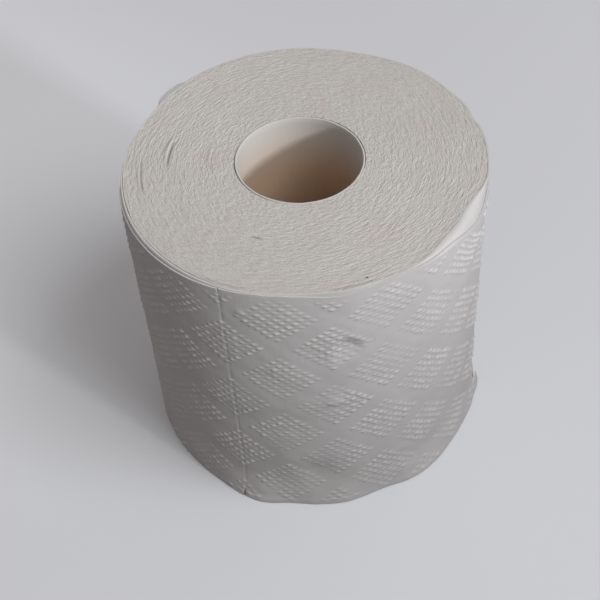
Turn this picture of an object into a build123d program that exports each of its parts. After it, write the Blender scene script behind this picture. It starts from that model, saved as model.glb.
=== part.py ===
from build123d import *
from math import cos, degrees, pi, radians, sin, sqrt
import os

# Toilet paper roll, standing on its end. Millimetres, +Z up.
# The origin is on the core's axis, at the end face that the roll stands on.
# Azimuths are counter-clockwise from +X, seen from above. The roll's front faces -Y.

# Core tube
core_bore = 38.0
core_wall = 0.6
core_clearance = 0.1

# Wound roll, measured over the embossing
roll_diameter = 110.0
roll_width = 100.0

# The web. One modelled turn inside the loose wraps stands for about a dozen real turns of
# tissue. Those turns have short straight sides in place of a curve, because they repeat.
wound_turns = 9
turn_sides = 36
loose_wraps = 2
ply_thickness = 0.4
ply_gap = 0.2

# Outermost sheet: its free tail, and the perforation where the next sheet begins
tail_azimuth = -10.5
sheet_length = 102.0
perforation_width = 0.4
perforation_depth = 0.2
notch_width = 2.4
notch_height = 3.0

# Handling has pushed the outer turns off the core's axis and left them slightly oval
shift_x = 1.5
shift_y = -1.0
oval_swell = 0.6
oval_azimuth = 45.0

# Past the perforation the wrap stands off the roll
loose_wrap_lift = 0.7

# Lower corner of the tail, torn and curled away from the roll
tail_curl_length = 9.0
tail_curl_height = 43.0
tail_curl_lift = 1.3

# Upper rim, where the outer wrap has slipped down
slip_azimuth = -37.5
slip_length = 34.0
slip_drop = 2.2

# Embossed diamonds, in columns that are offset by half a pitch
emboss_height = 0.3
diamond_spacing = 31.4
diamond_pitch = 26.5
diamond_width = 24.4
diamond_height = 20.6
first_diamond_azimuth = -100.4
first_diamond_height = 10.8

# Worked out from the sizes above
core_radius = core_bore / 2 + core_wall
paper_bore_radius = core_radius + core_clearance
face_radius = roll_diameter / 2 - emboss_height
wrap_step = ply_thickness + ply_gap
turn_step = (face_radius - loose_wraps * wrap_step - paper_bore_radius) / (wound_turns + 1)
full_turns = loose_wraps + wound_turns
sheet_angle = degrees(sheet_length / face_radius)
curl_angle = degrees(tail_curl_length / face_radius)
perforation_azimuth = tail_azimuth - sheet_angle
loose_middle_azimuth = (perforation_azimuth + tail_azimuth - 180) / 2
diamond_count = round(pi * roll_diameter / diamond_spacing)
diamond_root = face_radius - sqrt((face_radius - 2 * wrap_step) ** 2 - (diamond_width / 2) ** 2)

# Heights of the two stretches of the roll, each with the lift of the tail there
stretches = (
    (0, tail_curl_height, tail_curl_lift),
    (tail_curl_height, roll_width - tail_curl_height, 0),
)


def at(radius, azimuth):
    """Point of the ground plane at a radius and an azimuth about the core's axis."""
    return (radius * cos(radians(azimuth)), radius * sin(radians(azimuth)))


def wound_at(radius, azimuth):
    """Point of the handled web that was at this radius and azimuth when it was newly wound."""
    share = (radius - paper_bore_radius) / (face_radius - paper_bore_radius)
    swell = oval_swell * cos(2 * radians(azimuth - oval_azimuth))
    x, y = at(radius + share * swell, azimuth)
    return (x + share * shift_x, y + share * shift_y)


def outward_plane(azimuth, depth):
    """Plane that faces outwards at a depth under the outermost turn, with its y upwards."""
    turns = (tail_azimuth - azimuth) % 360 / 360
    origin = (*wound_at(outer_face(turns) - depth, azimuth), 0)
    return Plane(origin=origin, x_dir=(*at(1, azimuth + 90), 0), z_dir=(*at(1, azimuth), 0))


def outer_face(turns):
    """Radius of the web's outer face, a number of turns inwards from the tail."""
    wraps = min(turns, loose_wraps)
    return face_radius - wraps * wrap_step - (turns - wraps) * turn_step


def inner_face(turns):
    """Radius of the web's inner face, which lies a gap outside the next turn's outer face."""
    return outer_face(turns + 1) + ply_gap


def wrap_arcs(start, end, arc_count, offset):
    """Arcs along the outermost turn, from start to end turns past the tail. Returns their ends."""
    step = (end - start) / (2 * arc_count)
    places = [start + step * index for index in range(2 * arc_count + 1)]
    points = [wound_at(outer_face(place) + offset, tail_azimuth - 360 * place) for place in places]
    for index in range(arc_count):
        ThreePointArc(points[2 * index], points[2 * index + 1], points[2 * index + 2])
    return points[0], points[-1]


def wound_line(face, last_turn):
    """Line of a face inside the outermost turn. Returns its end near the core."""
    side_count = turn_sides * (last_turn - 1)
    corners = [
        wound_at(face(1 + side / turn_sides), tail_azimuth - 360 * side / turn_sides)
        for side in range(side_count + 1)
    ]
    Polyline(*corners)
    return corners[-1]


def first_turn(offset, tail_lift):
    """Line of the outermost turn, at an offset from its outer face. Returns its start at the tail."""
    tail_end = wound_at(face_radius + offset + tail_lift, tail_azimuth)
    curl_middle = wound_at(face_radius + offset + tail_lift / 4, tail_azimuth - curl_angle / 2)
    curl_end, sheet_end = wrap_arcs(curl_angle / 360, sheet_angle / 360, 2, offset)
    ThreePointArc(tail_end, curl_middle, curl_end)
    loose_middle = wound_at(face_radius + offset + loose_wrap_lift, loose_middle_azimuth)
    loose_end, turn_end = wrap_arcs(1 / 2, 1, 3, offset)
    ThreePointArc(sheet_end, loose_middle, loose_end)
    return tail_end


def wrapped_solid(offset):
    """Solid of everything inside the outermost turn, at an offset from its outer face."""
    with BuildPart() as wrapped:
        for base, height, tail_lift in stretches:
            with BuildSketch(Plane.XY.offset(base)):
                with BuildLine():
                    tail_end = first_turn(offset, tail_lift)
                    Line(tail_end, wound_at(outer_face(1) + offset, tail_azimuth))
                make_face()
            extrude(amount=height)
    return wrapped.part


# Core tube
with BuildPart() as core_tube:
    with BuildSketch():
        Circle(core_radius)
        Circle(core_bore / 2, mode=Mode.SUBTRACT)
    extrude(amount=roll_width)

# Columns of prisms that stand out radially through the outer wrap
with BuildPart() as diamond_prisms:
    for column in range(2 * diamond_count):
        column_azimuth = first_diamond_azimuth + column * 180 / diamond_count
        column_base = first_diamond_height + (column % 2) * diamond_pitch / 2
        diamond_rows = int((roll_width - column_base) / diamond_pitch) + 1
        with BuildSketch(outward_plane(column_azimuth, diamond_root)):
            for row in range(diamond_rows):
                with Locations((0, column_base + row * diamond_pitch)):
                    Polygon(
                        (diamond_width / 2, 0),
                        (0, diamond_height / 2),
                        (-diamond_width / 2, 0),
                        (0, -diamond_height / 2),
                    )
        extrude(amount=diamond_root + emboss_height + loose_wrap_lift + tail_curl_lift)

# Raised diamonds, rooted halfway into the outer wrap
with BuildPart() as embossing:
    add(wrapped_solid(emboss_height))
    add(wrapped_solid(-ply_thickness / 2), mode=Mode.SUBTRACT)
    add(diamond_prisms.part, mode=Mode.INTERSECT)

# Piece of the outer wrap that is missing where it has slipped below the rim
with BuildPart() as slipped_rim:
    with BuildSketch(outward_plane(slip_azimuth, face_radius - paper_bore_radius)):
        with BuildLine():
            ThreePointArc(
                (-slip_length / 2, roll_width),
                (0, roll_width - slip_drop),
                (slip_length / 2, roll_width),
            )
            Line((-slip_length / 2, roll_width), (slip_length / 2, roll_width))
        make_face()
    extrude(amount=roll_diameter / 2)
    add(wrapped_solid(-ply_thickness - ply_gap / 2), mode=Mode.SUBTRACT)

# Tissue: one long web, out along one face of the sheet and back along the other
with BuildPart() as paper_roll:
    for base, height, tail_lift in stretches:
        with BuildSketch(Plane.XY.offset(base)):
            with BuildLine():
                outer_tail_corner = first_turn(0, tail_lift)
                inner_tail_corner = first_turn(-ply_thickness, tail_lift)
                Line(inner_tail_corner, outer_tail_corner)
                Line(wound_line(outer_face, full_turns), wound_line(inner_face, full_turns - 1))
            make_face()
            Circle(paper_bore_radius, mode=Mode.SUBTRACT)
        extrude(amount=height)
    add(embossing.part)
    add(slipped_rim.part, mode=Mode.SUBTRACT)

    # Perforation line, scored over the full height
    with BuildSketch(outward_plane(perforation_azimuth, perforation_depth)):
        with Locations((0, roll_width / 2)):
            Rectangle(perforation_width, roll_width)
    extrude(amount=perforation_depth + loose_wrap_lift, mode=Mode.SUBTRACT)

    # Small tear at the foot of the perforation line, through the outer wrap alone
    with BuildSketch(outward_plane(perforation_azimuth, ply_thickness + ply_gap / 2)):
        Polygon(
            (-notch_width / 2, 0),
            (notch_width / 2, 0),
            (0, notch_height),
            align=None,
        )
    extrude(amount=wrap_step + loose_wrap_lift, mode=Mode.SUBTRACT)

core_tube.part.label = "core_tube"
paper_roll.part.label = "paper_roll"

os.makedirs("parts", exist_ok=True)
export_step(core_tube.part, "parts/core_tube.step")
export_step(paper_roll.part, "parts/paper_roll.step")
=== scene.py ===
"""Toilet paper roll standing on its end: embossed two-ply tissue wound on a board core.

The tissue is modelled flat, as it leaves the embossing rollers, and is then wound round the roll.
Lengths are in millimetres until a mesh is finished, and a bearing is an angle about the roll's
axis in degrees, 0 at the front, positive to the right. A field whose name ends in over holds the
two places between which a change fades in, in a sheet's case counted from its edge where the name
says curl or sunk.
"""

from __future__ import annotations

import logging
import math
from dataclasses import dataclass
from enum import Enum
from typing import Any

import bmesh
import bpy
import numpy as np
from mathutils import Matrix, Vector

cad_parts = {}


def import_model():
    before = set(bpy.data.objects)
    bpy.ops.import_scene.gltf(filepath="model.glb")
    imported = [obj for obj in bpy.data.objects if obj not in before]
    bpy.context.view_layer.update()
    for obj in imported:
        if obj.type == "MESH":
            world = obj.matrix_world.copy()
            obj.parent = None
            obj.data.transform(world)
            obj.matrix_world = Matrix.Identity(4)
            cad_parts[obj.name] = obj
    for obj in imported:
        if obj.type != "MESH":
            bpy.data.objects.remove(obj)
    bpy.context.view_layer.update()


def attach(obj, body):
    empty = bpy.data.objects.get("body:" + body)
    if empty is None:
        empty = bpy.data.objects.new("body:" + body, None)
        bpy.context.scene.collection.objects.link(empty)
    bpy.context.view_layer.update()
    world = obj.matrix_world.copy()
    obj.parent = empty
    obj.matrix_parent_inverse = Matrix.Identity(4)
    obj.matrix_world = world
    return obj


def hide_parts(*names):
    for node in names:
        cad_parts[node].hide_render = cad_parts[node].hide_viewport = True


MM = 0.001
SEED = 20
ROLL_HEIGHT = 100.0
SQUARE_ENOUGH = 1.0
WELD = 0.001
Array = np.ndarray
Span = tuple[float, float]
Stops = tuple[Span, ...]
Triple = tuple[float, float, float]
log = logging.getLogger("tissue_roll")


class Slot(Enum):
    """Material slots of the record."""

    TISSUE = "tissue"
    BOARD = "core_board"


def smooth(edge_low: float, edge_high: float, value: Array) -> Array:
    """Smooth step from 0 at edge_low to 1 at edge_high.

    Args:
        edge_low: value at and below which the step is 0.
        edge_high: value at and above which the step is 1.
        value: values to weigh.

    Returns:
        The step, with the shape of value.
    """
    t = np.clip((value - edge_low) / (edge_high - edge_low), 0.0, 1.0)
    return t * t * (3.0 - 2.0 * t)


def bump(value: Array, middle: float, reach: float) -> Array:
    """Bell-shaped weight: 1 at the middle, about a third at reach."""
    return np.exp(-(((value - middle) / reach) ** 2))


def through(bearing: Array, stops: Stops) -> Array:
    """Smooth curve that closes on itself round the roll.

    Args:
        bearing: bearings in degrees.
        stops: rising bearings and the value that the curve passes through at each.

    Returns:
        The curve's value at each bearing.
    """
    places, values = (np.array(row, dtype=float) for row in zip(*stops))
    places = np.concatenate((places[-2:] - 360.0, places, places[:2] + 360.0))
    values = np.concatenate((values[-2:], values, values[:2]))
    slopes = (values[2:] - values[:-2]) / (places[2:] - places[:-2])
    turned = (bearing - places[2]) % 360.0 + places[2]
    low = np.clip(np.searchsorted(places, turned, side="right") - 1, 2, len(places) - 3)
    span = places[low + 1] - places[low]
    t = (turned - places[low]) / span
    curve = values[low] * (1.0 + 2.0 * t) * (1.0 - t) ** 2 + values[low + 1] * t * t * (3.0 - 2.0 * t)
    return curve + span * (slopes[low - 1] * t * (1.0 - t) ** 2 + slopes[low] * t * t * (t - 1.0))


@dataclass(frozen=True)
class Bell:
    """Bell-shaped weight about a middle."""

    size: float
    middle: float
    reach: float

    def at(self, value: Array) -> Array:
        """The size at the middle, about a third of it at reach."""
        return self.size * bump(value, self.middle, self.reach)


@dataclass(frozen=True)
class Mark:
    """Bell-shaped mark at a bearing and a height, or at a bearing and a radius on a cut end."""

    size: float
    bearing: float
    half_width: float
    middle: float
    reach: float

    def at(self, bearing: Array, place: Array) -> Array:
        """How far the mark stands out at a bearing and a height or radius."""
        across = self.size * bump(bearing, self.bearing, self.half_width)
        return across * bump(place, self.middle, self.reach)


@dataclass(frozen=True)
class Arc:
    """Mark on a cut end that follows a turn and fades in and out along it."""

    size: float
    begins: Span
    ends: Span
    radius: float
    reach: float

    def at(self, bearing: Array, radius: Array) -> Array:
        """How strong the mark is at a bearing and a radius."""
        along = smooth(*self.begins, bearing) * (1.0 - smooth(*self.ends, bearing))
        return self.size * along * bump(radius, self.radius, self.reach)


@dataclass(frozen=True)
class Grain:
    """Seeded smooth noise on a lattice that closes on itself round the roll.

    Attributes:
        size: the most that it reaches either way.
        seed: number that is added to the scene's seed.
        across: cells across the field.
        around: cells round the roll.
    """

    size: float
    seed: int
    across: int
    around: int

    def at(self, across: Array, bearing: Array) -> Array:
        """Noise at each place.

        Args:
            across: place across the field, 0 to 1.
            bearing: bearing in degrees.

        Returns:
            The noise, between minus and plus the size.
        """
        lattice = (self.across + 2, self.around)
        values = np.random.default_rng(SEED + self.seed).uniform(-1.0, 1.0, lattice)
        row = np.clip(across, 0.0, 1.0) * self.across
        column = (bearing / 360.0 % 1.0) * self.around
        row_low = np.floor(row).astype(int)
        column_low = np.floor(column).astype(int)
        row_part = smooth(0.0, 1.0, row - row_low)
        column_part = smooth(0.0, 1.0, column - column_low)
        near = column_low % self.around
        far = (column_low + 1) % self.around
        low = values[row_low, near] * (1 - column_part) + values[row_low, far] * column_part
        above = row_low + 1
        high = values[above, near] * (1 - column_part) + values[above, far] * column_part
        return self.size * (low * (1 - row_part) + high * row_part)

    def ring(self, bearing: Array) -> Array:
        """Noise that changes round the roll alone."""
        return self.at(np.zeros_like(bearing), bearing)


def round_axis(x: Any, y: Any, bearing: Array, radius: Array, height: Array) -> Array:
    """Points at a bearing and a radius about an upright axis.

    Args:
        x: place of the axis to the right, one number or one for each point.
        y: place of the axis towards the back, likewise.
        bearing: bearings in degrees.
        radius: radii about the axis.
        height: heights above the base.

    Returns:
        One row of x, y, z for each point.
    """
    angle = np.radians(bearing)
    return np.stack((x + radius * np.sin(angle), y - radius * np.cos(angle), height), axis=-1)


def polar(points: Array, x: float = 0.0, y: float = 0.0) -> tuple[Array, ...]:
    """Bearing, radius and height of points about an upright axis at x, y."""
    across, back = points[:, 0] - x, points[:, 1] - y
    return np.degrees(np.arctan2(across, -back)), np.hypot(across, back), points[:, 2].copy()


@dataclass(frozen=True)
class RollForm:
    """Outside of the roll: slightly out of round, off centre on its core and flared at its foot."""

    centre_x: float = 1.16
    centre_y: float = -1.04
    height: float = ROLL_HEIGHT
    body: float = 54.5
    body_lean: float = 0.2
    core_lean_x: float = 0.5
    core_lean_y: float = -0.6
    rim_over: Span = (0.1, 1.05)
    foot_height: float = 13.0
    foot_share: float = 0.78
    lip_height: float = 3.5
    lip_share: float = 0.22
    side_bearing: float = 90.0
    side_reach: float = 20.0
    side_inset: float = 0.25
    side_swell: float = 0.25
    side_swell_over: Span = (0.25, 0.55)
    side_flare: float = 0.55
    side_flare_over: Span = (0.82, 0.98)
    rim_stops: Stops = (
        (-180, 55.5), (-160, 55.2), (-145, 54.9), (-130, 53.9), (-115, 53.3), (-100, 53.7), (-90, 54.3),
        (-80, 55.1), (-67, 55.8), (-54, 56.2), (-40, 56.4), (-30, 56.4), (-20, 56.1), (-10, 55.6),
        (0, 55.3), (10, 55.6), (20, 55.3), (28, 55.4), (37, 55.9), (49, 55.9), (62, 55.8), (72, 55.5),
        (86, 55.3), (93, 55.4), (99, 55.5), (105, 54.9), (112, 55.6), (122, 55.5), (137, 55.9), (150, 55.2),
        (162, 54.8),
    )
    foot_stops: Stops = (
        (-130, 54.7), (-80, 54.3), (-56, 54.4), (-45, 54.8), (-36, 55.5), (-28, 56.7), (-20, 57.1),
        (-11, 55.8), (-2, 55.8), (8, 56.1), (19, 55.0), (25, 55.4), (31, 56.4), (38, 56.7), (46, 56.3),
        (56, 56.0), (67, 56.3), (80, 56.4), (95, 56.1), (130, 55.4), (180, 55.2),
    )

    def up(self, shares: Span, height: Array) -> Array:
        """Smooth step between two shares of the roll's height."""
        return smooth(shares[0] * self.height, shares[1] * self.height, height)

    def outline(self, bearing: Array, height: Array) -> Array:
        """Radius of the outermost wrap's plain face about the roll's centre.

        Args:
            bearing: bearings in degrees.
            height: heights above the base.

        Returns:
            The radius at each place.
        """
        body = self.body + self.body_lean * np.sin(np.radians(bearing))
        radius = body + self.up(self.rim_over, height) * (through(bearing, self.rim_stops) - body)
        foot = self.foot_share * (1.0 - smooth(0.0, self.foot_height, height))
        foot += self.lip_share * (1.0 - smooth(0.0, self.lip_height, height))
        radius += foot * (through(bearing, self.foot_stops) - radius)
        beside = bump((bearing - self.side_bearing + 180.0) % 360.0 - 180.0, 0.0, self.side_reach)
        flared = self.up(self.side_flare_over, height)
        swelled = 1.0 - self.up(self.side_swell_over, height)
        inset = self.side_inset * (1.0 - flared) * (1.0 - swelled)
        return radius + beside * (self.side_flare * flared + self.side_swell * swelled - inset)

    def place(self, bearing: Array, radius: Array, height: Array) -> Array:
        """Points in the object's frame, at radii about the roll's centre."""
        return round_axis(self.centre_x, self.centre_y, bearing, radius, height)

    def about_core(self, bearing: Array, radius: Array, height: Array) -> Array:
        """Points about the core, which leans a little towards its upper end."""
        share = height / self.height
        return round_axis(self.core_lean_x * share, self.core_lean_y * share, bearing, radius, height)


@dataclass(frozen=True)
class Embossing:
    """Diamond fields of raised dots, pressed into the tissue by the rollers."""

    diamonds_round: int = 11
    pitch_up: float = 26.5
    first_bearing: float = 6.0
    first_height: float = 77.0
    steps: int = 9
    dots: int = 7
    dot_margin: float = 0.25
    dot_height: float = 0.36
    dot_half_width: float = 0.62
    dot_half_height: float = 0.38
    dot_crown: Span = (0.05, 1.3)
    dot_shift: Span = (0.12, 0.10)
    dot_unevenness: float = 0.45
    lots: tuple[int, int, int] = (4, 64, 64)
    pillow: float = 0.03
    pillow_edge: Span = (3.3, 4.4)
    cells: int = 4
    plain_rim: Span = (96.4, 98.8)
    plain_foot: Span = (0.3, 2.4)
    strength: float = 0.92
    strength_limits: Span = (0.4, 1.35)
    worn: Grain = Grain(0.35, 11, 7, 24)
    patchy: Grain = Grain(0.35, 12, 16, 60)
    faint_left: Bell = Bell(-0.45, -85.0, 30.0)
    crisp_right: Bell = Bell(0.3, 70.0, 32.0)
    faint_front: Bell = Bell(-0.14, 2.0, 18.0)
    faint_foot: Mark = Mark(-0.45, 2.0, 18.0, 11.0, 9.0)

    @property
    def bearing_step(self) -> float:
        """Bearing between two neighbouring lattice columns."""
        return 360.0 / self.diamonds_round / (2 * self.steps)

    @property
    def height_step(self) -> float:
        """Height between two neighbouring lattice rows."""
        return self.pitch_up / (2 * self.steps)

    def off_middle(self, u: Array, v: Array) -> Array:
        """Steps from the middle of a diamond, along the further of its two diagonals."""
        diagonals = np.stack(((u + v) / 2, (v - u) / 2)) + self.steps / 2
        return np.abs(diagonals % self.steps - self.steps / 2).max(axis=0)

    def dots_at(self, u: Array, v: Array) -> Array:
        """Shape of the dots alone, 0 to about 1.

        Args:
            u: places round the roll, in lattice columns.
            v: places up the roll, in lattice rows.

        Returns:
            The shape at each place.
        """
        lots = np.random.default_rng(SEED).uniform(-1.0, 1.0, self.lots)
        reach = self.dots // 2 + self.dot_margin
        shape = np.zeros_like(u)
        for shift_u, shift_v in ((0, 0), (0, 1), (1, 0), (1, 1)):
            dot_u = np.floor(u).astype(int) + shift_u
            dot_v = np.floor(v).astype(int) + shift_v
            real = ((dot_u + dot_v) % 2 == 0) & (self.off_middle(dot_u, dot_v) < reach)
            lot = lots[:, dot_u % self.lots[1], dot_v % self.lots[2]]
            off_u = (u - dot_u - self.dot_shift[0] * lot[0]) / self.dot_half_width
            off_v = (v - dot_v - self.dot_shift[1] * lot[1]) / self.dot_half_height
            crown = 1.0 - smooth(*self.dot_crown, np.hypot(off_u, off_v))
            crown *= 1.0 + self.dot_unevenness * lot[2]
            shape = np.maximum(shape, np.where(real, crown, 0.0))
        return shape

    def relief(self, bearing: Array, height: Array) -> Array:
        """How far the embossing stands out of the sheet.

        Args:
            bearing: bearings in degrees.
            height: heights above the base.

        Returns:
            The relief in millimetres.
        """
        u = (bearing - self.first_bearing) / self.bearing_step
        v = (height - self.first_height) / self.height_step
        across = height / ROLL_HEIGHT
        strength = self.strength + self.worn.at(across, bearing) + self.patchy.at(across, bearing)
        strength = np.clip(strength, *self.strength_limits)
        strength *= 1.0 + self.faint_left.at(bearing) + self.crisp_right.at(bearing)
        strength *= 1.0 + self.faint_front.at(bearing) + self.faint_foot.at(bearing, height)
        pressed = (1.0 - smooth(*self.plain_rim, height)) * smooth(*self.plain_foot, height)
        pillow = self.pillow * smooth(*self.pillow_edge, self.off_middle(u, v))
        return pressed * (self.dot_height * strength * self.dots_at(u, v) + pillow)


@dataclass(frozen=True)
class Handling:
    """Marks that use has left on the outer wraps: dents, slack and a slipped edge."""

    drop_reach: float = 22.0
    drop_stops: Stops = (
        (-150, 0.1), (-95, 0.0), (-84, 0.1), (-74, 0.65), (-60, 0.85), (-42, 0.75), (-30, 0.5), (-23, 0.25),
        (-12, 0.1), (-2, 0.5), (5, 1.3), (12, 1.3), (19, 0.5), (26, 0.1), (36, 0.4), (46, 0.7), (51, 1.4),
        (57, 3.0), (64, 4.6), (71, 4.3), (78, 2.4), (84, 0.9), (91, 0.2), (140, 0.1),
    )
    gap_stops: Stops = (
        (-130, 0.02), (-100, 0.02), (-84, 0.03), (-76, 0.04), (-46, 0.04), (-26, 0.03), (0, 0.04),
        (12, 0.05), (28, 0.03), (36, 0.14), (46, 0.16), (54, 0.05), (62, 0.02), (80, 0.02), (95, 0.02),
        (180, 0.02),
    )
    inner_gap_stops: Stops = (
        (-180, 0.03), (-100, 0.04), (-84, 0.10), (-76, 0.16), (-60, 0.12), (-48, 0.20), (-38, 0.24),
        (-28, 0.14), (-15, 0.05), (20, 0.03), (36, 0.03), (90, 0.03),
    )
    shoulder_stops: Stops = (
        (-170, 0.0), (-90, 0.0), (-80, 0.4), (-70, 0.6), (-54, 0.6), (-40, 0.45), (-28, 0.25), (-14, 0.1),
        (20, 0.1), (32, 0.15), (38, 0.9), (45, 2.0), (53, 2.5), (61, 3.0), (67, 2.2), (72, 0.9),
        (77, 0.1), (82, 0.0), (130, 0.0),
    )
    shoulder_depth_stops: Stops = (
        (-170, 1.0), (-84, 1.1), (-60, 1.5), (-30, 1.2), (0, 1.0), (36, 1.0), (45, 1.7), (50, 2.2), (57, 4.5),
        (65, 6.5), (75, 6.0), (84, 3.5), (93, 1.2), (130, 1.0),
    )
    least_gap: float = 0.02
    least_inner_gap: float = 0.03
    least_shoulder_depth: float = 0.8
    thumb_bearing: float = 11.0
    thumb_height: float = 76.9
    thumb_half_width: float = 4.6
    thumb_half_height: float = 4.9
    thumb_slant: Span = (0.6, 0.8)
    thumb_steepness: Span = (1.6, 0.6)
    thumb_slope: Span = (0.15, 1.3)
    thumb_depth: float = 0.95
    crumple: Bell = Bell(0.45, 5.5, 2.6)
    crumple_height: float = 51.8
    crumple_reach: Span = (2.6, 1.5)
    flattened: Bell = Bell(-0.5, -115.0, 12.0)
    flattened_over: Span = (60.0, 95.0)
    marks: tuple[Mark, ...] = (
        Mark(0.28, -20.5, 1.4, 92.0, 1.1),
        Mark(-0.12, 6.0, 3.2, 49.2, 1.1),
        Mark(-0.7, -1.0, 6.0, 16.0, 5.5),
        Mark(0.15, 82.0, 26.0, 60.0, 6.0),
        Mark(0.075, 82.0, 26.0, 32.0, 8.0),
    )
    hollows: tuple[Mark, ...] = (Mark(1.2, 8.0, 12.0, 76.5, 9.5), Mark(1.2, 8.0, 12.0, 16.0, 14.0))

    def drop(self, bearing: Array, height: Array) -> Array:
        """How far the outer wrap has slipped down, most at its upper edge."""
        slipped = smooth(ROLL_HEIGHT - self.drop_reach, ROLL_HEIGHT, height)
        return through(bearing, self.drop_stops) * slipped

    def gap(self, bearing: Array) -> Array:
        """Distance at the rim between the outer wrap and the next."""
        return np.maximum(self.least_gap, through(bearing, self.gap_stops))

    def inner_gap(self, bearing: Array) -> Array:
        """Distance at the rim between the second wrap and the turns inside it."""
        return np.maximum(self.least_inner_gap, through(bearing, self.inner_gap_stops))

    def shoulder(self, bearing: Array, height: Array) -> Array:
        """How far the inner turns round over inwards where the outer wrap has slipped.

        Args:
            bearing: bearings in degrees.
            height: heights above the base.

        Returns:
            The distance in millimetres.
        """
        depth = np.maximum(self.least_shoulder_depth, through(bearing, self.shoulder_depth_stops))
        t = np.clip((height - (ROLL_HEIGHT - depth)) / depth, 0.0, 1.0)
        return np.maximum(0.0, through(bearing, self.shoulder_stops)) * (1.0 - np.sqrt(1.0 - t * t))

    def dents(self, bearing: Array, height: Array) -> Array:
        """Pressed and crumpled places, negative inwards.

        Args:
            bearing: bearings in degrees.
            height: heights above the base.

        Returns:
            The change of radius in millimetres.
        """
        along = (bearing - self.thumb_bearing) / self.thumb_half_width
        up = (height - self.thumb_height) / self.thumb_half_height
        across = self.thumb_slant[0] * along + self.thumb_slant[1] * up
        side = self.thumb_slant[1] * along - self.thumb_slant[0] * up
        thumb = np.hypot(across * np.where(across > 0.0, *self.thumb_steepness), side)
        change = -self.thumb_depth * (1.0 - smooth(*self.thumb_slope, thumb))
        reach = np.where(height > self.crumple_height, *self.crumple_reach)
        change += self.crumple.at(bearing) * bump(height, self.crumple_height, reach)
        change += self.flattened.at(bearing) * smooth(*self.flattened_over, height)
        return change + sum(mark.at(bearing, height) for mark in self.marks)

    def hollow(self, bearing: Array, height: Array) -> Array:
        """Room that the dents need behind the sheet."""
        return sum(mark.at(bearing, height) for mark in self.hollows)


def keep_corners(bm: bmesh.types.BMesh) -> None:
    """Marks the square corners of a mesh, so that its faces shade up to them unbent."""
    for edge in bm.edges:
        edge.smooth = edge.calc_face_angle(0.0) < SQUARE_ENOUGH


def flat_patch(bearings: Span, heights: Span, columns: int, rows: int) -> bmesh.types.BMesh:
    """Grid of faces laid out flat: x is the bearing and y the height.

    Args:
        bearings: bearings of its two sides.
        heights: heights of its lower and its upper edge.
        columns: number of faces across.
        rows: number of faces up.

    Returns:
        The grid.
    """
    bm = bmesh.new()
    bmesh.ops.create_grid(bm, x_segments=columns, y_segments=rows, size=0.5)
    size = Vector((bearings[1] - bearings[0], heights[1] - heights[0], 1.0))
    bmesh.ops.scale(bm, vec=size, verts=bm.verts)
    middle = Vector((sum(bearings) / 2, sum(heights) / 2, 0.0))
    bmesh.ops.translate(bm, vec=middle, verts=bm.verts)
    return bm


def spun(corners: list[Span], steps: int) -> bmesh.types.BMesh:
    """Spins a closed section about the roll's axis and closes the seam.

    Args:
        corners: radius and height of each corner of the section.
        steps: number of steps round.

    Returns:
        The spun mesh.
    """
    bm = bmesh.new()
    verts = [bm.verts.new((radius, 0.0, height)) for radius, height in corners]
    edges = [bm.edges.new((verts[i], verts[(i + 1) % len(verts)])) for i in range(len(verts))]
    bmesh.ops.spin(
        bm, geom=edges, cent=Vector((0.0, 0.0, 0.0)), axis=Vector((0.0, 0.0, 1.0)),
        angle=2.0 * math.pi, steps=steps, use_merge=True,
    )
    bmesh.ops.remove_doubles(bm, verts=bm.verts, dist=WELD)
    bmesh.ops.recalc_face_normals(bm, faces=bm.faces)
    return bm


def mesh_from(bm: bmesh.types.BMesh, name: str) -> bpy.types.Mesh:
    """Writes an editable mesh out and frees it.

    Args:
        bm: editable mesh.
        name: name of the mesh.

    Returns:
        The mesh.
    """
    mesh = bpy.data.meshes.new(name)
    bm.to_mesh(mesh)
    bm.free()
    return mesh


def corners_of(mesh: bpy.types.Mesh) -> Array:
    """Reads where the corners of a mesh are.

    Args:
        mesh: mesh to read.

    Returns:
        One row of x, y, z for each vertex.
    """
    flat = np.empty(len(mesh.vertices) * 3)
    mesh.vertices.foreach_get("co", flat)
    return flat.reshape(-1, 3)


def dressed(mesh: bpy.types.Mesh, points: Array, **carried: Array) -> bpy.types.Object:
    """Moves a mesh's vertices to their places and links it, smooth, as an object at the origin.

    Args:
        mesh: mesh that has its faces, but is still flat or round.
        points: place of each vertex, in millimetres.
        **carried: numbers that the finish reads, by name, one for each vertex.

    Returns:
        The new object, with the mesh's name.
    """
    mesh.vertices.foreach_set("co", (points * MM).ravel())
    for name, values in carried.items():
        mesh.attributes.new(name, "FLOAT", "POINT").data.foreach_set("value", values)
    mesh.update()
    mesh.shade_smooth()
    piece = bpy.data.objects.new(mesh.name, mesh)
    bpy.context.scene.collection.objects.link(piece)
    return piece


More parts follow.
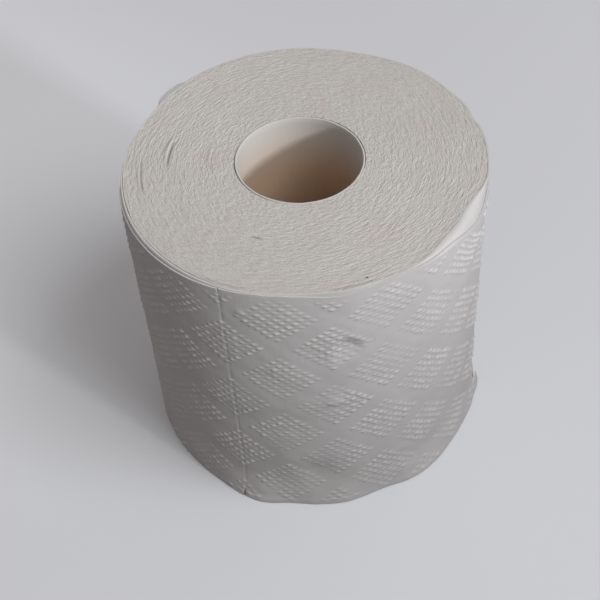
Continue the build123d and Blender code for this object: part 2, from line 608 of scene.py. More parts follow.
@dataclass
class OuterSheet:
    """One perforated sheet of the outermost turn, from one perforation to the next."""

    name: str
    start: float
    end: float
    form: RollForm
    embossing: Embossing
    handling: Handling
    thickness: float = 0.4
    back_rows: int = 16
    level: float = 0.1
    start_is_torn: bool = True
    end_is_torn: bool = True
    perforation_reach: float = 1.1
    notch_height: float = 2.6
    notch_bearing: float = 0.5
    rim_notch_bearing: float = 0.2
    rim_notch_over: Span = (98.6, 99.6)
    edge_wave: Grain = Grain(0.10, 13, 26, 1)
    edge_lift: float = 0.75
    edge_lift_wave: Grain = Grain(0.45, 14, 44, 1)
    start_edge: tuple[Bell, ...] = (Bell(-0.15, 0.0, 0.5),)
    end_edge: tuple[Bell, ...] = (Bell(0.05, -0.8, 0.6), Bell(-0.08, 0.0, 0.4))
    tear_bearing: float | None = None
    tear_height: float = 0.0
    tear_waves: tuple[Triple, ...] = ((0.25, 2.3, 0.0), (0.15, 5.1, 1.0))
    curl_lift: float = 0.95
    curl_over: Span = (9.0, 1.0)
    curl_below: Span = (-0.2, 0.4)
    sunk_start: float = 0.0
    sunk_over: Span = (6.0, 26.0)
    slack_waves: tuple[Grain, ...] = (Grain(0.15, 1, 12, 40), Grain(0.05, 2, 34, 120))
    taut_rim: float = 0.8
    taut_over: Span = (90.0, 98.0)
    rim_drop: float = 0.1
    rim_wave: Grain = Grain(0.1, 3, 2, 90)
    rim_reach: float = 8.0

    def flat_mesh(self) -> bmesh.types.BMesh:
        """The sheet laid out flat: x is the bearing, y the height and z the depth.

        Returns:
            A closed sheet with a fine front and a coarse back.
        """
        columns = round((self.end - self.start) * self.embossing.cells / self.embossing.bearing_step)
        rows = round(self.form.height * self.embossing.cells / self.embossing.height_step)
        bm = flat_patch((self.start, self.end), (0.0, self.form.height), columns, rows)
        if self.tear_bearing is not None:
            self.tear_off(bm)
        self.close_back(bm, rows)
        return bm

    def tear_off(self, bm: bmesh.types.BMesh) -> None:
        """Removes the faces past the tear, all but the small corner at the foot.

        Args:
            bm: flat mesh of the front, changed in place.
        """
        gone = []
        for face in bm.faces:
            middle = face.calc_center_median()
            ragged = sum(size * math.sin(rate * middle.y + lag) for size, rate, lag in self.tear_waves)
            if middle.y > self.tear_height and middle.x > self.tear_bearing + ragged:
                gone.append(face)
        bmesh.ops.delete(bm, geom=gone, context="FACES")

    def close_back(self, bm: bmesh.types.BMesh, rows: int) -> None:
        """Gives the sheet its back, in a few long rows, and its cut edges.

        Args:
            bm: flat mesh of the front, changed in place.
            rows: number of rows that the front has.
        """
        front = list(bm.verts)
        made = bmesh.ops.extrude_face_region(bm, geom=bm.faces[:], use_keep_orig=True)
        back = {item for item in made["geom"] if isinstance(item, bmesh.types.BMVert)}
        back = back.difference(front)
        bmesh.ops.translate(bm, vec=Vector((0.0, 0.0, -self.thickness)), verts=list(back))
        row_height = self.form.height / rows
        level = self.level * row_height
        kept = max(1, rows // self.back_rows)
        gone = []
        for edge in bm.edges:
            one, other = edge.verts
            if one not in back or other not in back or abs(one.co.y - other.co.y) > level:
                continue
            inside = all(vert in back for face in edge.link_faces for vert in face.verts)
            if inside and len(edge.link_faces) == 2 and round(one.co.y / row_height) % kept:
                gone.append(edge)
        bmesh.ops.dissolve_edges(bm, edges=gone, use_verts=True)
        bmesh.ops.recalc_face_normals(bm, faces=bm.faces)
        keep_corners(bm)

    def torn_edges(self, bearing: Array, height: Array) -> tuple[Array, Array]:
        """Shapes the perforated edges: wavy, parted at the foot and the rim, one side raised.

        Args:
            bearing: flat bearings in degrees.
            height: flat heights.

        Returns:
            The change of bearing and the change of radius.
        """
        across = height / self.form.height
        wave = self.edge_wave.at(across, bearing)
        firm = self.edge_lift + self.edge_lift_wave.at(across, bearing)
        parted = self.notch_bearing * np.clip(1.0 - height / self.notch_height, 0.0, 1.0)
        parted += self.rim_notch_bearing * smooth(*self.rim_notch_over, height)
        turn = np.zeros_like(bearing)
        lift = np.zeros_like(bearing)
        if self.start_is_torn:
            turn += bump(bearing, self.start, self.perforation_reach) * (wave + parted)
            lift += firm * sum(bell.at(bearing - self.start) for bell in self.start_edge)
        if self.end_is_torn:
            turn += bump(bearing, self.end, self.perforation_reach) * (wave - parted)
            lift += firm * sum(bell.at(bearing - self.end) for bell in self.end_edge)
        return turn, lift

    def curl(self, bearing: Array, height: Array) -> Array:
        """How far the corner that the tear has left stands off.

        Args:
            bearing: flat bearings in degrees.
            height: flat heights.

        Returns:
            The change of radius in millimetres.
        """
        loose = smooth(*(self.end - reach for reach in self.curl_over), bearing)
        low = 1.0 - smooth(*(self.tear_height + reach for reach in self.curl_below), height)
        return self.curl_lift * loose * low

    def build(self) -> bpy.types.Object:
        """Makes the sheet flat and winds it round the roll.

        Returns:
            The wound sheet.
        """
        mesh = mesh_from(self.flat_mesh(), self.name)
        bearing, height, depth = corners_of(mesh).T
        behind = depth < -0.5 * self.thickness
        across = height / self.form.height
        relief = np.where(behind, 0.0, self.embossing.relief(bearing, height))
        dropped = height - self.handling.drop(bearing, height)
        slack = 1.0 - self.taut_rim * smooth(*self.taut_over, height)
        radius = self.form.outline(bearing, height) + self.handling.dents(bearing, height)
        radius += slack * sum(wave.at(across, bearing) for wave in self.slack_waves)
        radius += relief + depth - np.where(behind, self.handling.hollow(bearing, height), 0.0)
        radius -= self.handling.shoulder(bearing, dropped)
        if self.tear_bearing is not None:
            radius += self.curl(bearing, height)
        sunk = smooth(*(self.start + reach for reach in self.sunk_over), bearing)
        radius -= self.sunk_start * (1.0 - sunk)
        turn, lift = self.torn_edges(bearing, height)
        rim_share = smooth(self.form.height - self.rim_reach, self.form.height, height)
        dropped -= (self.rim_drop + self.rim_wave.ring(bearing)) * rim_share
        points = self.form.place(bearing + turn, radius + lift, dropped)
        # The relief also goes to the finish, which paints shade between the dots from it.
        return dressed(mesh, points, relief=relief / self.embossing.dot_height)


@dataclass
class UnderWrap:
    """The wrap below the outermost sheets, which shows where they stand off or have slipped."""

    form: RollForm
    handling: Handling
    sheet_thickness: float = 0.4
    thickness: float = 0.4
    section_radius: float = 50.0
    waist: float = 1.5
    waist_over: Span = (82.0, 93.0)
    slack_over: Span = (78.0, 97.0)
    steps: int = 540
    coarse_rows: tuple[float, ...] = (0.0, 0.3, 0.6, 0.85)
    fine_rows: int = 26
    fine_height: float = 12.0
    ripple: Grain = Grain(0.02, 16, 20, 140)
    rim_drop: float = 0.05
    rim_wave: Grain = Grain(0.06, 15, 2, 110)
    rim_reach: float = 2.0
    proud: tuple[Bell, ...] = (Bell(0.06, 50.0, 13.0), Bell(0.10, -55.0, 22.0))
    name: str = "under_wrap"

    def outer_face(self, bearing: Array, height: Array) -> Array:
        """Radius of the wrap's outer face.

        Args:
            bearing: bearings in degrees.
            height: heights above the base.

        Returns:
            The radius at each place.
        """
        slack = self.handling.gap(bearing) * smooth(*self.slack_over, height)
        waist = self.waist * (1.0 - smooth(*self.waist_over, height))
        face = self.form.outline(bearing, np.maximum(height, self.form.foot_height))
        return face - self.sheet_thickness - slack - waist - self.handling.shoulder(bearing, height)

    def build(self) -> bpy.types.Object:
        """Makes the wrap.

        Returns:
            The wrap, with fine rows near its rim.
        """
        top = self.form.height
        rows = [share * (top - self.fine_height) for share in self.coarse_rows]
        rows += [top - self.fine_height * (1.0 - k / self.fine_rows) ** 2 for k in range(self.fine_rows + 1)]
        outer = [(self.section_radius + self.thickness, height) for height in rows]
        inner = [(self.section_radius, height) for height in reversed(rows)]
        bm = spun(outer + inner, self.steps)
        keep_corners(bm)
        mesh = mesh_from(bm, self.name)
        bearing, radius, height = polar(corners_of(mesh))
        depth = self.section_radius + self.thickness - radius
        place = self.outer_face(bearing, height) - depth + self.ripple.at(height / top, bearing)
        fall = self.rim_drop + self.rim_wave.ring(bearing) - sum(bell.at(bearing) for bell in self.proud)
        lowered = height - fall * smooth(top - self.rim_reach, top, height)
        return dressed(mesh, self.form.place(bearing, place, lowered))


@dataclass
class LoosePly:
    """Scrap of a single ply that has come away from the rim at the back."""

    form: RollForm
    start: float = -139.5
    end: float = -125.0
    foot: float = 95.0
    columns: int = 44
    rows: int = 20
    thickness: float = 0.1
    stand_off: float = 1.5
    stand_off_over: Span = (95.0, 99.0)
    arch_power: float = 0.7
    clearance: float = 0.45
    clear_over: Span = (0.0, 0.2)
    rim_drop: float = 0.5
    rim_tear: Grain = Grain(0.35, 17, 2, 130)
    rim_over: Span = (97.0, 100.0)
    name: str = "loose_ply"

    def build(self) -> bpy.types.Object:
        """Makes the scrap.

        Returns:
            The scrap, arched away from the roll.
        """
        heights = (self.foot, self.form.height)
        bm = flat_patch((self.start, self.end), heights, self.columns, self.rows)
        bmesh.ops.solidify(bm, geom=bm.faces[:], thickness=self.thickness)
        bmesh.ops.recalc_face_normals(bm, faces=bm.faces)
        mesh = mesh_from(bm, self.name)
        bearing, height, depth = corners_of(mesh).T
        share = np.clip((bearing - self.start) / (self.end - self.start), 0.0, 1.0)
        arch = np.sin(math.pi * share) ** self.arch_power
        off = self.stand_off * arch * smooth(*self.stand_off_over, height)
        clear = self.clearance * smooth(*self.clear_over, arch)
        radius = self.form.outline(bearing, height) + clear + off + depth
        fall = (self.rim_drop - self.rim_tear.ring(bearing)) * smooth(*self.rim_over, height)
        return dressed(mesh, self.form.place(bearing, radius, height - fall))


@dataclass
class WoundTurns:
    """Everything inside the two outer wraps: the wound tissue with its two cut ends."""

    form: RollForm
    handling: Handling
    wrap: UnderWrap
    bore: float = 19.75
    outer: float = 55.0
    real_turns: int = 116
    under_turns: int = 20
    rim_rows: tuple[float, ...] = (0.3, 1.2, 3.0, 6.0)
    steps: int = 620
    waist: float = 2.4
    waist_height: float = 50.0
    waist_below_rim: Span = (7.0, 0.2)
    at_end: float = 0.01
    broad: Grain = Grain(0.06, 5, 6, 18)
    streaks: Grain = Grain(0.06, 6, 58, 120)
    fine: Grain = Grain(0.055, 7, 112, 210)
    wander: Grain = Grain(1.0, 8, 9, 42)
    patches: Grain = Grain(0.8, 18, 7, 22)
    wound: float = 0.02
    wound_turns: float = 24.0
    wound_wander: float = 0.8
    wound_mean: float = 0.55
    wound_most: float = 1.2
    sunk: float = 0.1
    foot_sunk: float = 0.15
    lifted: tuple[Mark | Arc, ...] = (
        Mark(0.40, -102.0, 6.0, 41.3, 0.6),
        Arc(0.14, (-97.0, -92.0), (-80.0, -74.0), 48.8, 0.4),
        Mark(0.28, -97.0, 7.0, 28.0, 0.45),
    )
    # Gaps between the turns: sunk a little, and darkened by the finish with painted shade.
    gaps: tuple[Mark | Arc, ...] = (
        Arc(0.8, (-109.0, -104.0), (-95.0, -88.0), 40.3, 0.34),
        Arc(0.6, (-97.0, -92.0), (-80.0, -74.0), 48.2, 0.26),
        Mark(0.8, -23.8, 2.2, 34.8, 0.3),
        Arc(0.3, (-106.0, -96.0), (-88.0, -80.0), 27.3, 0.3),
    )
    outer_gap: Arc = Arc(0.4, (-52.0, -46.0), (24.0, 32.0), 0.8, 0.26)
    outer_gap_mean: float = 0.2
    outer_gap_wander: float = 1.2
    tissue_width: float = 35.0
    gap_depth: float = 0.3
    name: str = "wound_turns"

    def section(self) -> list[Span]:
        """Corners of the closed section.

        Returns:
            Radius and height of each corner.
        """
        top = self.form.height
        span = self.outer - self.bore
        upper = [(self.bore + span * k / self.real_turns, top) for k in range(self.real_turns + 1)]
        side = [(self.outer, top - drop) for drop in self.rim_rows]
        side += [(self.outer, drop) for drop in reversed(self.rim_rows)]
        lower = [(self.outer - span * k / self.under_turns, 0.0) for k in range(self.under_turns + 1)]
        return upper + side + lower

    def cut_end(self, share: Array, bearing: Array, place: Array) -> tuple[Array, Array]:
        """Gaps between the turns of a cut end, its ripples and its lifted edges.

        Args:
            share: place from the bore, 0, to the outside, 1.
            bearing: bearings of the round turns, in degrees.
            place: points in the object's frame.

        Returns:
            The strength of the gaps, 0 to 1, which the finish paints dark as shade, and the change of height
            in millimetres.
        """
        turned, radius, _ = polar(place, self.form.centre_x, self.form.centre_y)
        wander = self.wander.at(share, bearing)
        broken = np.clip(self.outer_gap_mean + self.outer_gap_wander * wander, 0.0, 1.0)
        gap = sum(mark.at(turned, radius) for mark in self.gaps)
        gap += broken * self.outer_gap.at(turned, (1.0 - share) * self.tissue_width)
        gap = np.clip(gap, 0.0, 1.0)
        turns = share * self.wound_turns + bearing / 360.0 + self.wound_wander * wander
        clear = np.clip(self.wound_mean + self.patches.at(share, bearing), 0.0, self.wound_most)
        lift = self.wound * np.sin(2.0 * math.pi * turns) * clear - self.sunk - self.gap_depth * gap
        lift += sum(grain.at(share, bearing) for grain in (self.broad, self.streaks, self.fine))
        return gap, lift + sum(mark.at(turned, radius) for mark in self.lifted)

    def build(self) -> bpy.types.Object:
        """Makes round turns, presses them into the roll's outline and roughens their ends.

        Returns:
            The wound turns.
        """
        bm = spun(self.section(), self.steps)
        keep_corners(bm)
        mesh = mesh_from(bm, self.name)
        bearing, radius, height = polar(corners_of(mesh))
        top = self.form.height
        share = (radius - self.bore) / (self.outer - self.bore)
        rim = self.wrap.outer_face(bearing, np.full_like(height, top)) - self.wrap.thickness
        rim -= self.handling.inner_gap(bearing)
        body = self.form.outline(bearing, np.full_like(height, self.waist_height)) - self.waist
        above = smooth(*(top - below for below in self.waist_below_rim), height)
        outer = self.form.place(bearing, body + (rim - body) * above, height)
        inner = self.form.about_core(bearing, np.full_like(radius, self.bore), height)
        place = inner + (outer - inner) * share[:, None]
        gap, lift = self.cut_end(share, bearing, place)
        place[:, 2] += np.where(height > top - self.at_end, lift, 0.0)
        place[:, 2] += np.where(height < self.at_end, np.maximum(0.0, self.foot_sunk - lift), 0.0)
        # The gaps' strength goes to the finish, which paints shade into them.
        return dressed(mesh, place, crack=gap)


@dataclass
class CoreTube:
    """The board tube that the tissue is wound on."""

    form: RollForm
    bore: float = 19.0
    wall: float = 0.6
    height: float = ROLL_HEIGHT
    rim_round: float = 0.15
    rim_drop: float = 0.05
    rim_wave: Grain = Grain(0.08, 9, 2, 60)
    rim_reach: float = 10.0
    oval: float = 0.006
    oval_bearing: float = 30.0
    steps: int = 240
    rows: int = 40
    name: str = "board_core"

    def build(self) -> bpy.types.Object:
        """Makes the tube.

        Returns:
            The tube, leaning as the core does.
        """
        inner, outer = self.bore, self.bore + self.wall
        corners = [(inner, self.height * k / self.rows) for k in range(self.rows + 1)]
        corners += [(outer, self.height), (outer, 0.0)]
        bm = spun(corners, self.steps)
        sharp = [edge for edge in bm.edges if edge.calc_face_angle(0.0) > SQUARE_ENOUGH]
        bmesh.ops.bevel(
            bm, geom=sharp, offset=self.rim_round, offset_type="OFFSET", affect="EDGES",
            segments=2, profile=0.5, material=-1,
        )
        mesh = mesh_from(bm, self.name)
        bearing, radius, height = polar(corners_of(mesh))
        radius *= 1.0 + self.oval * np.cos(np.radians(2.0 * (bearing - self.oval_bearing)))
        rise = self.rim_wave.ring(bearing) - self.rim_drop
        height += rise * smooth(self.height - self.rim_reach, self.height, height)
        return dressed(mesh, self.form.about_core(bearing, radius, height))


class Value:
    """A node socket that takes part in sums. Each operator adds a Math node."""

    def __init__(self, shader: Shader, socket: Any) -> None:
        """Wraps a socket or a number."""
        self.shader = shader
        self.socket = socket

    def _math(self, operation: str, other: Any) -> Value:
        """Adds a Math node of this value and another."""
        return self.shader.value("ShaderNodeMath", {"operation": operation}, {0: self, 1: other})

    def __add__(self, other: Any) -> Value:
        """This plus other."""
        return self._math("ADD", other)

    def __sub__(self, other: Any) -> Value:
        """This minus other."""
        return self._math("SUBTRACT", other)

    def __rsub__(self, other: float) -> Value:
        """A number minus this."""
        return Value(self.shader, other)._math("SUBTRACT", self)

    def __mul__(self, other: Any) -> Value:
        """This times other."""
        return self._math("MULTIPLY", other)

    def clamped(self) -> Value:
        """This, kept between 0 and 1."""
        return self._math("MINIMUM", 1.0)._math("MAXIMUM", 0.0)


class Shader:
    """A material's node tree and the few kinds of node that the finishes need."""

    def __init__(self, name: str) -> None:
        """Starts a material with a Principled surface.

        Args:
            name: name of the material.
        """
        self.material = bpy.data.materials.new(name)
        self.material.use_nodes = True
        self.tree = self.material.node_tree
        self.tree.nodes.clear()
        self.surface = self.node("ShaderNodeBsdfPrincipled", {}, {})
        self.node("ShaderNodeOutputMaterial", {}, {"Surface": self.surface.outputs[0]})

    def feed(self, node: bpy.types.Node, inputs: dict[Any, Any]) -> None:
        """Sets or links a node's inputs.

        Args:
            node: node that takes them.
            inputs: a value or a link for each socket, by name or number.
        """
        for key, value in inputs.items():
            if isinstance(value, Value):
                value = value.socket
            if isinstance(value, bpy.types.NodeSocket):
                self.tree.links.new(value, node.inputs[key])
            else:
                node.inputs[key].default_value = value

    def node(self, kind: str, settings: dict[str, Any], inputs: dict[Any, Any]) -> bpy.types.Node:
        """Adds a node.

        Args:
            kind: the node's type.
            settings: its properties, set first.
            inputs: a value or a link for each socket, by name or number.

        Returns:
            The node.
        """
        made = self.tree.nodes.new(kind)
        for key, value in settings.items():
            setattr(made, key, value)
        self.feed(made, inputs)
        return made

    def value(self, kind: str, settings: dict[str, Any], inputs: dict[Any, Any], output: Any = 0) -> Value:
        """Adds a node and takes one of its outputs into a sum."""
        return Value(self, self.node(kind, settings, inputs).outputs[output])

    def place(self) -> bpy.types.NodeSocket:
        """Object coordinates, in metres."""
        return self.node("ShaderNodeTexCoord", {}, {}).outputs["Object"]

    def stretched(self, vector: Any, scale: Triple) -> bpy.types.NodeSocket:
        """A vector with each of its parts scaled."""
        return self.node("ShaderNodeVectorMath", {"operation": "MULTIPLY"}, {0: vector, 1: scale}).outputs[0]

    def noise(self, vector: Any, noise: Noise) -> Value:
        """Noise about 0 to 1 at each place of a vector."""
        size = {"Scale": noise.scale, "Detail": noise.detail, "Roughness": noise.roughness}
        return self.value("ShaderNodeTexNoise", {}, {"Vector": self.stretched(vector, noise.stretch), **size})

    def attribute(self, name: str) -> Value:
        """A number that the mesh carries."""
        return self.value("ShaderNodeAttribute", {"attribute_name": name}, {}, "Fac")

    def mixed(self, factor: Any, first: Any, second: Any) -> bpy.types.NodeSocket:
        """A blend of two colours."""
        sockets = {0: factor, 6: first, 7: second}
        return self.node("ShaderNodeMix", {"data_type": "RGBA"}, sockets).outputs[2]

    def flecked(self, colour: Any, place: Any, fleck: Fleck) -> bpy.types.NodeSocket:
        """A colour with one small dark fleck.

        Args:
            colour: colour round the fleck.
            place: object coordinates, in metres.
            fleck: the fleck.

        Returns:
            The colour.
        """
        point = tuple(part * MM for part in fleck.place)
        apart = self.value("ShaderNodeVectorMath", {"operation": "DISTANCE"}, {0: place, 1: point}, 1)
        inside = (fleck.edge - apart * (1.0 / (fleck.size * MM))).clamped()
        return self.mixed(inside, colour, linear(*fleck.colour))

    def bumped(self, height: Value, distance: float, strength: float) -> bpy.types.NodeSocket:
        """A normal roughened by a height."""
        sockets = {"Height": height, "Distance": distance, "Strength": strength}
        return self.node("ShaderNodeBump", {}, sockets).outputs[0]

    def finish(
        self, colour: Any, roughness: float, specular: float, normal: Any = None, alpha: float = 1.0
    ) -> bpy.types.Material:
        """Sets the surface.

        Args:
            colour: base colour, linear.
            roughness: roughness.
            specular: strength of the mirrored light.
            normal: normal, if it is roughened.
            alpha: 1 for a surface that nothing is seen through.

        Returns:
            The material.
        """
        inputs = {"Base Color": colour, "Roughness": roughness, "Specular IOR Level": specular}
        if normal is not None:
            inputs["Normal"] = normal
        self.feed(self.surface, {**inputs, "Alpha": alpha})
        return self.material


def linear(red: float, green: float, blue: float) -> tuple[float, float, float, float]:
    """A linear colour from its everyday values.

    Args:
        red: red, 0 to 255.
        green: green, 0 to 255.
        blue: blue, 0 to 255.

    Returns:
        Red, green, blue and alpha, 0 to 1.
    """
    parts = [part / 255.0 for part in (red, green, blue)]
    parts = [part / 12.92 if part <= 0.04045 else ((part + 0.055) / 1.055) ** 2.4 for part in parts]
    return (*parts, 1.0)


@dataclass(frozen=True)
class Noise:
    """Noise of a finish: steps to a metre, levels of detail, their weight, and a scale for each axis."""

    scale: float
    detail: float = 3.0
    roughness: float = 0.5
    stretch: Triple = (1.0, 1.0, 1.0)


@dataclass(frozen=True)
class Fleck:
    """Small dark fibre in the tissue."""

    place: Triple
    colour: Triple
    size: float = 0.42
    edge: float = 1.4


@dataclass(frozen=True)
class TissueFinish:
    """Soft white tissue, seen on its embossed face."""

    name: str = "tissue_face"
    paper: Triple = (194.0, 192.0, 191.0)
    shade: Triple = (183.0, 180.0, 179.0)
    fleck: Fleck = Fleck((-42.6, -33.8, 79.6), (96.0, 90.0, 86.0))
    fibres: Noise = Noise(2400.0, 4.0, 0.6, (1.0, 1.0, 0.45))
    crepe: Noise = Noise(950.0, 2.0, stretch=(1.0, 1.0, 0.25))
    clouds: Noise = Noise(70.0)
    cloud_share: float = 0.9
    fibre_share: float = 0.35
    painted_shade_share: float = 0.3
    shade_from: float = 0.1
    fibre_bump: float = 0.6
    roughness: float = 0.92
    specular: float = 0.25
    bump_height: float = 0.00006
    bump_strength: float = 0.7
    alpha: float = 1.0

    def make(self) -> bpy.types.Material:
        """Makes the material.

        Returns:
            The material, with painted shade: a little darker between the dots than on their crowns.
        """
        shader = Shader(self.name)
        place = shader.place()
        fibres = shader.noise(place, self.fibres)
        crepe = shader.noise(place, self.crepe)
        tone = shader.noise(place, self.clouds) * self.cloud_share + fibres * self.fibre_share
        # Painted shade: the tone follows the relief, lighter on the dots' crowns and darker between them.
        tone = tone - shader.attribute("relief") * self.painted_shade_share - self.shade_from
        colour = shader.mixed(tone.clamped(), linear(*self.paper), linear(*self.shade))
        colour = shader.flecked(colour, place, self.fleck)
        normal = shader.bumped(fibres * self.fibre_bump + crepe, self.bump_height, self.bump_strength)
        return shader.finish(colour, self.roughness, self.specular, normal, self.alpha)


@dataclass(frozen=True)
class CutEndFinish:
    """The cut edges of the turns, a little warmer than the face of the tissue."""

    paper: Triple = (196.0, 192.0, 188.0)
    shade: Triple = (184.0, 179.0, 174.0)
    blush: Triple = (192.0, 183.0, 180.0)
    # Painted shade: the dark colour laid into the gaps between the turns.
    gap: Triple = (104.0, 96.0, 90.0)
    fleck: Fleck = Fleck((16.9, -50.8, 99.9), (110.0, 100.0, 92.0))
    turn_pitch: float = 0.297
    streak_turns: float = 1.8
    streak_around: float = 16.0
    ply_turns: float = 1.0
    ply_around: float = 25.6
    drawn_out: Noise = Noise(1.0, 3.0, 0.6)
    fibres: Noise = Noise(1700.0, 4.0, 0.6)
    clouds: Noise = Noise(60.0, 2.0)
    cloud_share: float = 0.6
    streak_share: float = 0.9
    ply_share: float = 0.6
    fibre_share: float = 0.3
    paper_from: float = 0.7
    blushes: Noise = Noise(95.0, 1.0)
    blush_from: float = 0.54
    blush_steepness: float = 6.0
    blush_share: float = 0.6
    roughness: float = 0.95
    specular: float = 0.2
    fibre_bump: float = 0.2
    bump_height: float = 0.00047
    bump_strength: float = 0.9

    def make(self) -> bpy.types.Material:
        """Makes the material.

        Returns:
            The material, streaked along the turns, with painted shade in the gaps between them.
        """
        shader = Shader("tissue_cut_end")
        place = shader.place()
        streaks = self.along_turns(shader, place, self.streak_turns, self.streak_around)
        plies = self.along_turns(shader, place, self.ply_turns, self.ply_around)
        fibres = shader.noise(place, self.fibres)
        tone = shader.noise(place, self.clouds) * self.cloud_share + streaks * self.streak_share
        tone = tone + plies * self.ply_share + fibres * self.fibre_share - self.paper_from
        colour = shader.mixed(tone.clamped(), linear(*self.shade), linear(*self.paper))
        rosy = shader.noise(place, self.blushes) - self.blush_from
        rosy = (rosy * self.blush_steepness).clamped() * self.blush_share
        colour = shader.mixed(rosy, colour, linear(*self.blush))
        colour = shader.flecked(colour, place, self.fleck)
        # Painted shade: darkens the gaps between the turns by the strength that the mesh carries.
        colour = shader.mixed(shader.attribute("crack"), colour, linear(*self.gap))
        height = streaks + plies * self.ply_share + fibres * self.fibre_bump
        normal = shader.bumped(height, self.bump_height, self.bump_strength)
        return shader.finish(colour, self.roughness, self.specular, normal)

    def along_turns(self, shader: Shader, place: Any, turns: float, around: float) -> Value:
        """Noise drawn out along the turns.

        Args:
            shader: shader that takes the nodes.
            place: object coordinates, in metres.
            turns: turns to one step of the noise.
            around: steps of the noise to a radian.

        Returns:
            The noise.
        """
        flat = shader.stretched(place, (1.0, 1.0, 0.0))
        radius = shader.value("ShaderNodeVectorMath", {"operation": "LENGTH"}, {0: flat}, 1)
        outwards = shader.node("ShaderNodeVectorMath", {"operation": "NORMALIZE"}, {0: flat}).outputs[0]
        parts = shader.node("ShaderNodeSeparateXYZ", {}, {0: outwards})
        steps = {
            0: Value(shader, parts.outputs[0]) * around,
            1: Value(shader, parts.outputs[1]) * around,
            2: radius * (1.0 / (self.turn_pitch * turns * MM)),
        }
        return shader.noise(shader.node("ShaderNodeCombineXYZ", {}, steps).outputs[0], self.drawn_out)


@dataclass(frozen=True)
class BoardFinish:
    """Plain uncoated board, with painted shade: warm brown deep inside the tube, for the light that bounces
    round in it.
    """

    board: Triple = (188.0, 184.0, 181.0)
    shade: Triple = (184.0, 179.0, 173.0)
    deep_shade: Triple = (196.0, 168.0, 143.0)
    deep_shade_from: float = 0.0955
    deep_shade_over: float = 0.018
    fibres: Noise = Noise(900.0, 4.0, 0.6, (1.0, 1.0, 0.4))
    clouds: Noise = Noise(90.0, 2.0)
    fibre_share: float = 0.5
    cloud_share: float = 0.6
    roughness: float = 0.85
    specular: float = 0.3
    bump_height: float = 0.00006
    bump_strength: float = 0.5

    def make(self) -> bpy.types.Material:
        """Makes the material.

        Returns:
            The material, with painted shade deep in the tube.
        """
        shader = Shader("core_board")
        place = shader.place()
        fibres = shader.noise(place, self.fibres)
        tone = fibres * self.fibre_share + shader.noise(place, self.clouds) * self.cloud_share
        colour = shader.mixed(tone.clamped(), linear(*self.shade), linear(*self.board))
        # Painted shade: below the rim the colour turns warm brown with depth, as the light inside the tube
        # does.
        height = shader.value("ShaderNodeSeparateXYZ", {}, {0: place}, 2)
        depth = ((self.deep_shade_from - height) * (1.0 / self.deep_shade_over)).clamped()
        colour = shader.mixed(depth, colour, linear(*self.deep_shade))
        normal = shader.bumped(fibres, self.bump_height, self.bump_strength)
        return shader.finish(colour, self.roughness, self.specular, normal)


@dataclass(frozen=True)
class FloorFinish:
    """Plain pale floor that returns little light to the roll."""

    seen: Triple = (222.0, 223.0, 227.0)
    felt: Triple = (116.0, 116.0, 119.0)

    def make(self) -> bpy.types.Material:
        """Makes the material.

        Returns:
            The material, paler to the camera than to the roll.
        """
        shader = Shader("floor")
        rays = shader.node("ShaderNodeLightPath", {}, {}).outputs
        seen = (Value(shader, rays["Is Camera Ray"]) + Value(shader, rays["Is Glossy Ray"])).clamped()
        colour = shader.mixed(seen, linear(*self.felt), linear(*self.seen))
        return shader.finish(colour, roughness=1.0, specular=0.0)


class LampKind(Enum):
    """Kinds of lamp in the studio."""

    WINDOW = "AREA"
    BEAM = "SPOT"


@dataclass(frozen=True)
class Lamp:
    """One lamp, by where it stands as seen from the roll."""

    name: str
    kind: LampKind
    side: float
    rise: float
    distance: float
    size: float
    power: float
    colour: Triple
    aim: Triple = (0.0, 0.0, 50.0)
    beam: float = 0.0

    def build(self) -> None:
        """Hangs the lamp."""
        lamp = bpy.data.lights.new(self.name, self.kind.value)
        lamp.energy = self.power
        lamp.color = self.colour
        if self.kind is LampKind.WINDOW:
            lamp.shape = "SQUARE"
            lamp.size = self.size * MM
        else:
            lamp.shadow_soft_size = self.size * MM
            lamp.spot_size = math.radians(self.beam)
            lamp.spot_blend = 1.0
        side, rise = math.radians(self.side), math.radians(self.rise)
        towards = Vector((math.cos(rise) * math.cos(side), -math.cos(rise) * math.sin(side), math.sin(rise)))
        made = bpy.data.objects.new(self.name, lamp)
        made.location = (Vector(self.aim) + towards * self.distance) * MM
        made.rotation_mode = "QUATERNION"
        made.rotation_quaternion = towards.to_track_quat("Z", "Y")
        bpy.context.scene.collection.objects.link(made)


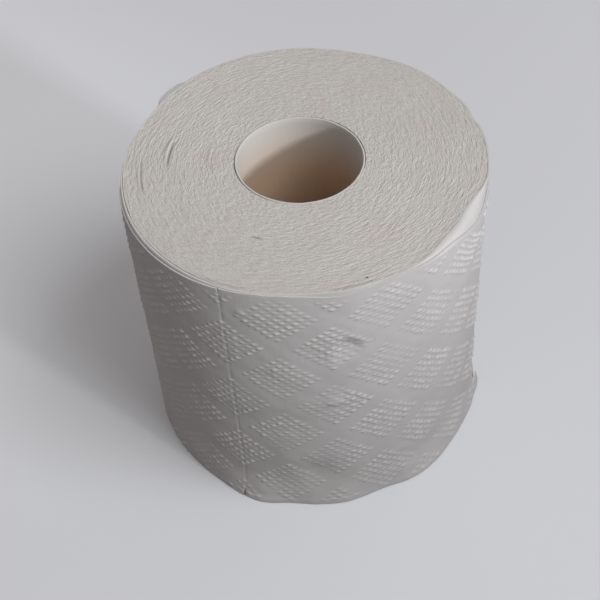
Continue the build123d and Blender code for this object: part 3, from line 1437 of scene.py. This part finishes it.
@dataclass
class Studio:
    """Floor, lamps, sky and camera."""

    form: RollForm
    lens: float = 75.6
    sensor: float = 36.0
    clip: Span = (0.01, 20.0)
    eye_back: float = 284.5
    eye_up: float = 348.9
    pitch: float = 47.53
    yaw: float = -0.69
    roll: float = -3.90
    lamps: tuple[Lamp, ...] = (
        Lamp(
            "window", LampKind.WINDOW, side=35.0, rise=54.0, distance=1600.0, size=900.0, power=14.2,
            colour=(0.95, 0.98, 1.0),
        ),
        Lamp(
            "beam", LampKind.BEAM, side=42.0, rise=18.0, distance=1200.0, size=80.0, power=45.4,
            colour=(0.97, 0.985, 1.0), aim=(30.0, -35.0, 156.0), beam=13.4,
        ),
    )
    sky: float = 0.385
    sky_colour: Triple = (1.0, 0.955, 0.93)
    floor_half_width: float = 6000.0
    floor_gap: float = 0.2

    def build(self) -> None:
        """Makes the whole studio."""
        self.make_floor()
        for lamp in self.lamps:
            lamp.build()
        self.make_sky()
        self.make_camera()
        bpy.context.scene.view_settings.view_transform = "Standard"

    def make_floor(self) -> None:
        """Lays the floor."""
        bm = bmesh.new()
        bmesh.ops.create_grid(bm, x_segments=1, y_segments=1, size=self.floor_half_width * MM)
        floor = bpy.data.objects.new("floor", mesh_from(bm, "floor"))
        floor.location.z = -self.floor_gap * MM
        bpy.context.scene.collection.objects.link(floor)
        floor.data.materials.append(FloorFinish().make())

    def make_sky(self) -> None:
        """Sets the even light from all round."""
        world = bpy.data.worlds.new("sky")
        world.use_nodes = True
        background = world.node_tree.nodes["Background"]
        background.inputs["Color"].default_value = (*self.sky_colour, 1.0)
        background.inputs["Strength"].default_value = self.sky
        bpy.context.scene.world = world

    def make_camera(self) -> None:
        """Places the camera where the roll is seen from, in front and above."""
        pitch, yaw, roll = (math.radians(angle) for angle in (self.pitch, self.yaw, self.roll))
        ahead = Vector((math.sin(yaw) * math.cos(pitch), math.cos(yaw) * math.cos(pitch), -math.sin(pitch)))
        level = ahead.cross(Vector((0.0, 0.0, 1.0))).normalized()
        above = level.cross(ahead)
        right = level * math.cos(roll) + above * math.sin(roll)
        up = above * math.cos(roll) - level * math.sin(roll)
        data = bpy.data.cameras.new("camera")
        data.lens = self.lens
        data.sensor_width = self.sensor
        data.clip_start, data.clip_end = self.clip
        camera = bpy.data.objects.new("camera", data)
        turn = Matrix((right, up, -ahead)).transposed().to_4x4()
        eye = Vector((self.form.centre_x, self.form.centre_y - self.eye_back, self.eye_up)) * MM
        camera.matrix_world = Matrix.Translation(eye) @ turn
        bpy.context.scene.collection.objects.link(camera)
        bpy.context.scene.camera = camera


@dataclass
class TissueRoll:
    """The whole roll."""

    form: RollForm
    embossing: Embossing
    handling: Handling
    sheet_angle: float = 106.0
    perforation: float = -26.5
    tail_end: float = 3.0
    tail_start: float = 4.0
    tear_height: float = 4.2
    sunk_under_tail: float = 0.45
    ply_alpha: float = 0.3

    def sheets(self) -> list[OuterSheet]:
        """The sheets of the outermost turn, from the tail inwards.

        Returns:
            The tail's sheet, two whole sheets and one whose start lies under the tail.
        """
        common = {"form": self.form, "embossing": self.embossing, "handling": self.handling}
        tail = self.perforation + self.sheet_angle
        second = self.perforation - self.sheet_angle
        third = second - self.sheet_angle
        return [
            OuterSheet(
                "tail_sheet", self.perforation, tail + self.tail_end,
                end_is_torn=False, tear_bearing=tail, tear_height=self.tear_height, **common,
            ),
            OuterSheet("second_sheet", second, self.perforation, **common),
            OuterSheet("third_sheet", third, second, **common),
            OuterSheet(
                "fourth_sheet", tail - 360.0 - self.tail_start, third,
                start_is_torn=False, sunk_start=self.sunk_under_tail, **common,
            ),
        ]

    def build(self) -> list[bpy.types.Object]:
        """Makes and dresses every piece.

        Returns:
            The pieces.
        """
        tissue = TissueFinish().make()
        ply = TissueFinish(name="single_ply", alpha=self.ply_alpha).make()
        cut_end = CutEndFinish().make()
        board = BoardFinish().make()
        wrap = UnderWrap(self.form, self.handling)
        pieces = [self.dress(sheet.build(), tissue) for sheet in self.sheets()]
        pieces.append(self.dress(wrap.build(), tissue))
        pieces.append(self.dress(LoosePly(self.form).build(), ply))
        pieces.append(self.dress(WoundTurns(self.form, self.handling, wrap).build(), cut_end))
        for piece in pieces:
            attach(piece, "root")
            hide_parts("paper_roll")
        core = self.dress(CoreTube(self.form).build(), board)
        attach(core, "root")
        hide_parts("core_tube")
        return [*pieces, core]

    def dress(self, piece: bpy.types.Object, material: bpy.types.Material) -> bpy.types.Object:
        """Gives a piece its material and returns it."""
        piece.data.materials.append(material)
        return piece


def main() -> None:
    """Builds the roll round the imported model."""
    logging.basicConfig(level=logging.INFO, format="%(name)s: %(message)s")
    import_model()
    form = RollForm()
    roll = TissueRoll(form, Embossing(), Handling())
    for piece in roll.build():
        log.info("%s is in place, %d faces", piece.name, len(piece.data.polygons))
    Studio(form).build()


if __name__ == "__main__":
    main()
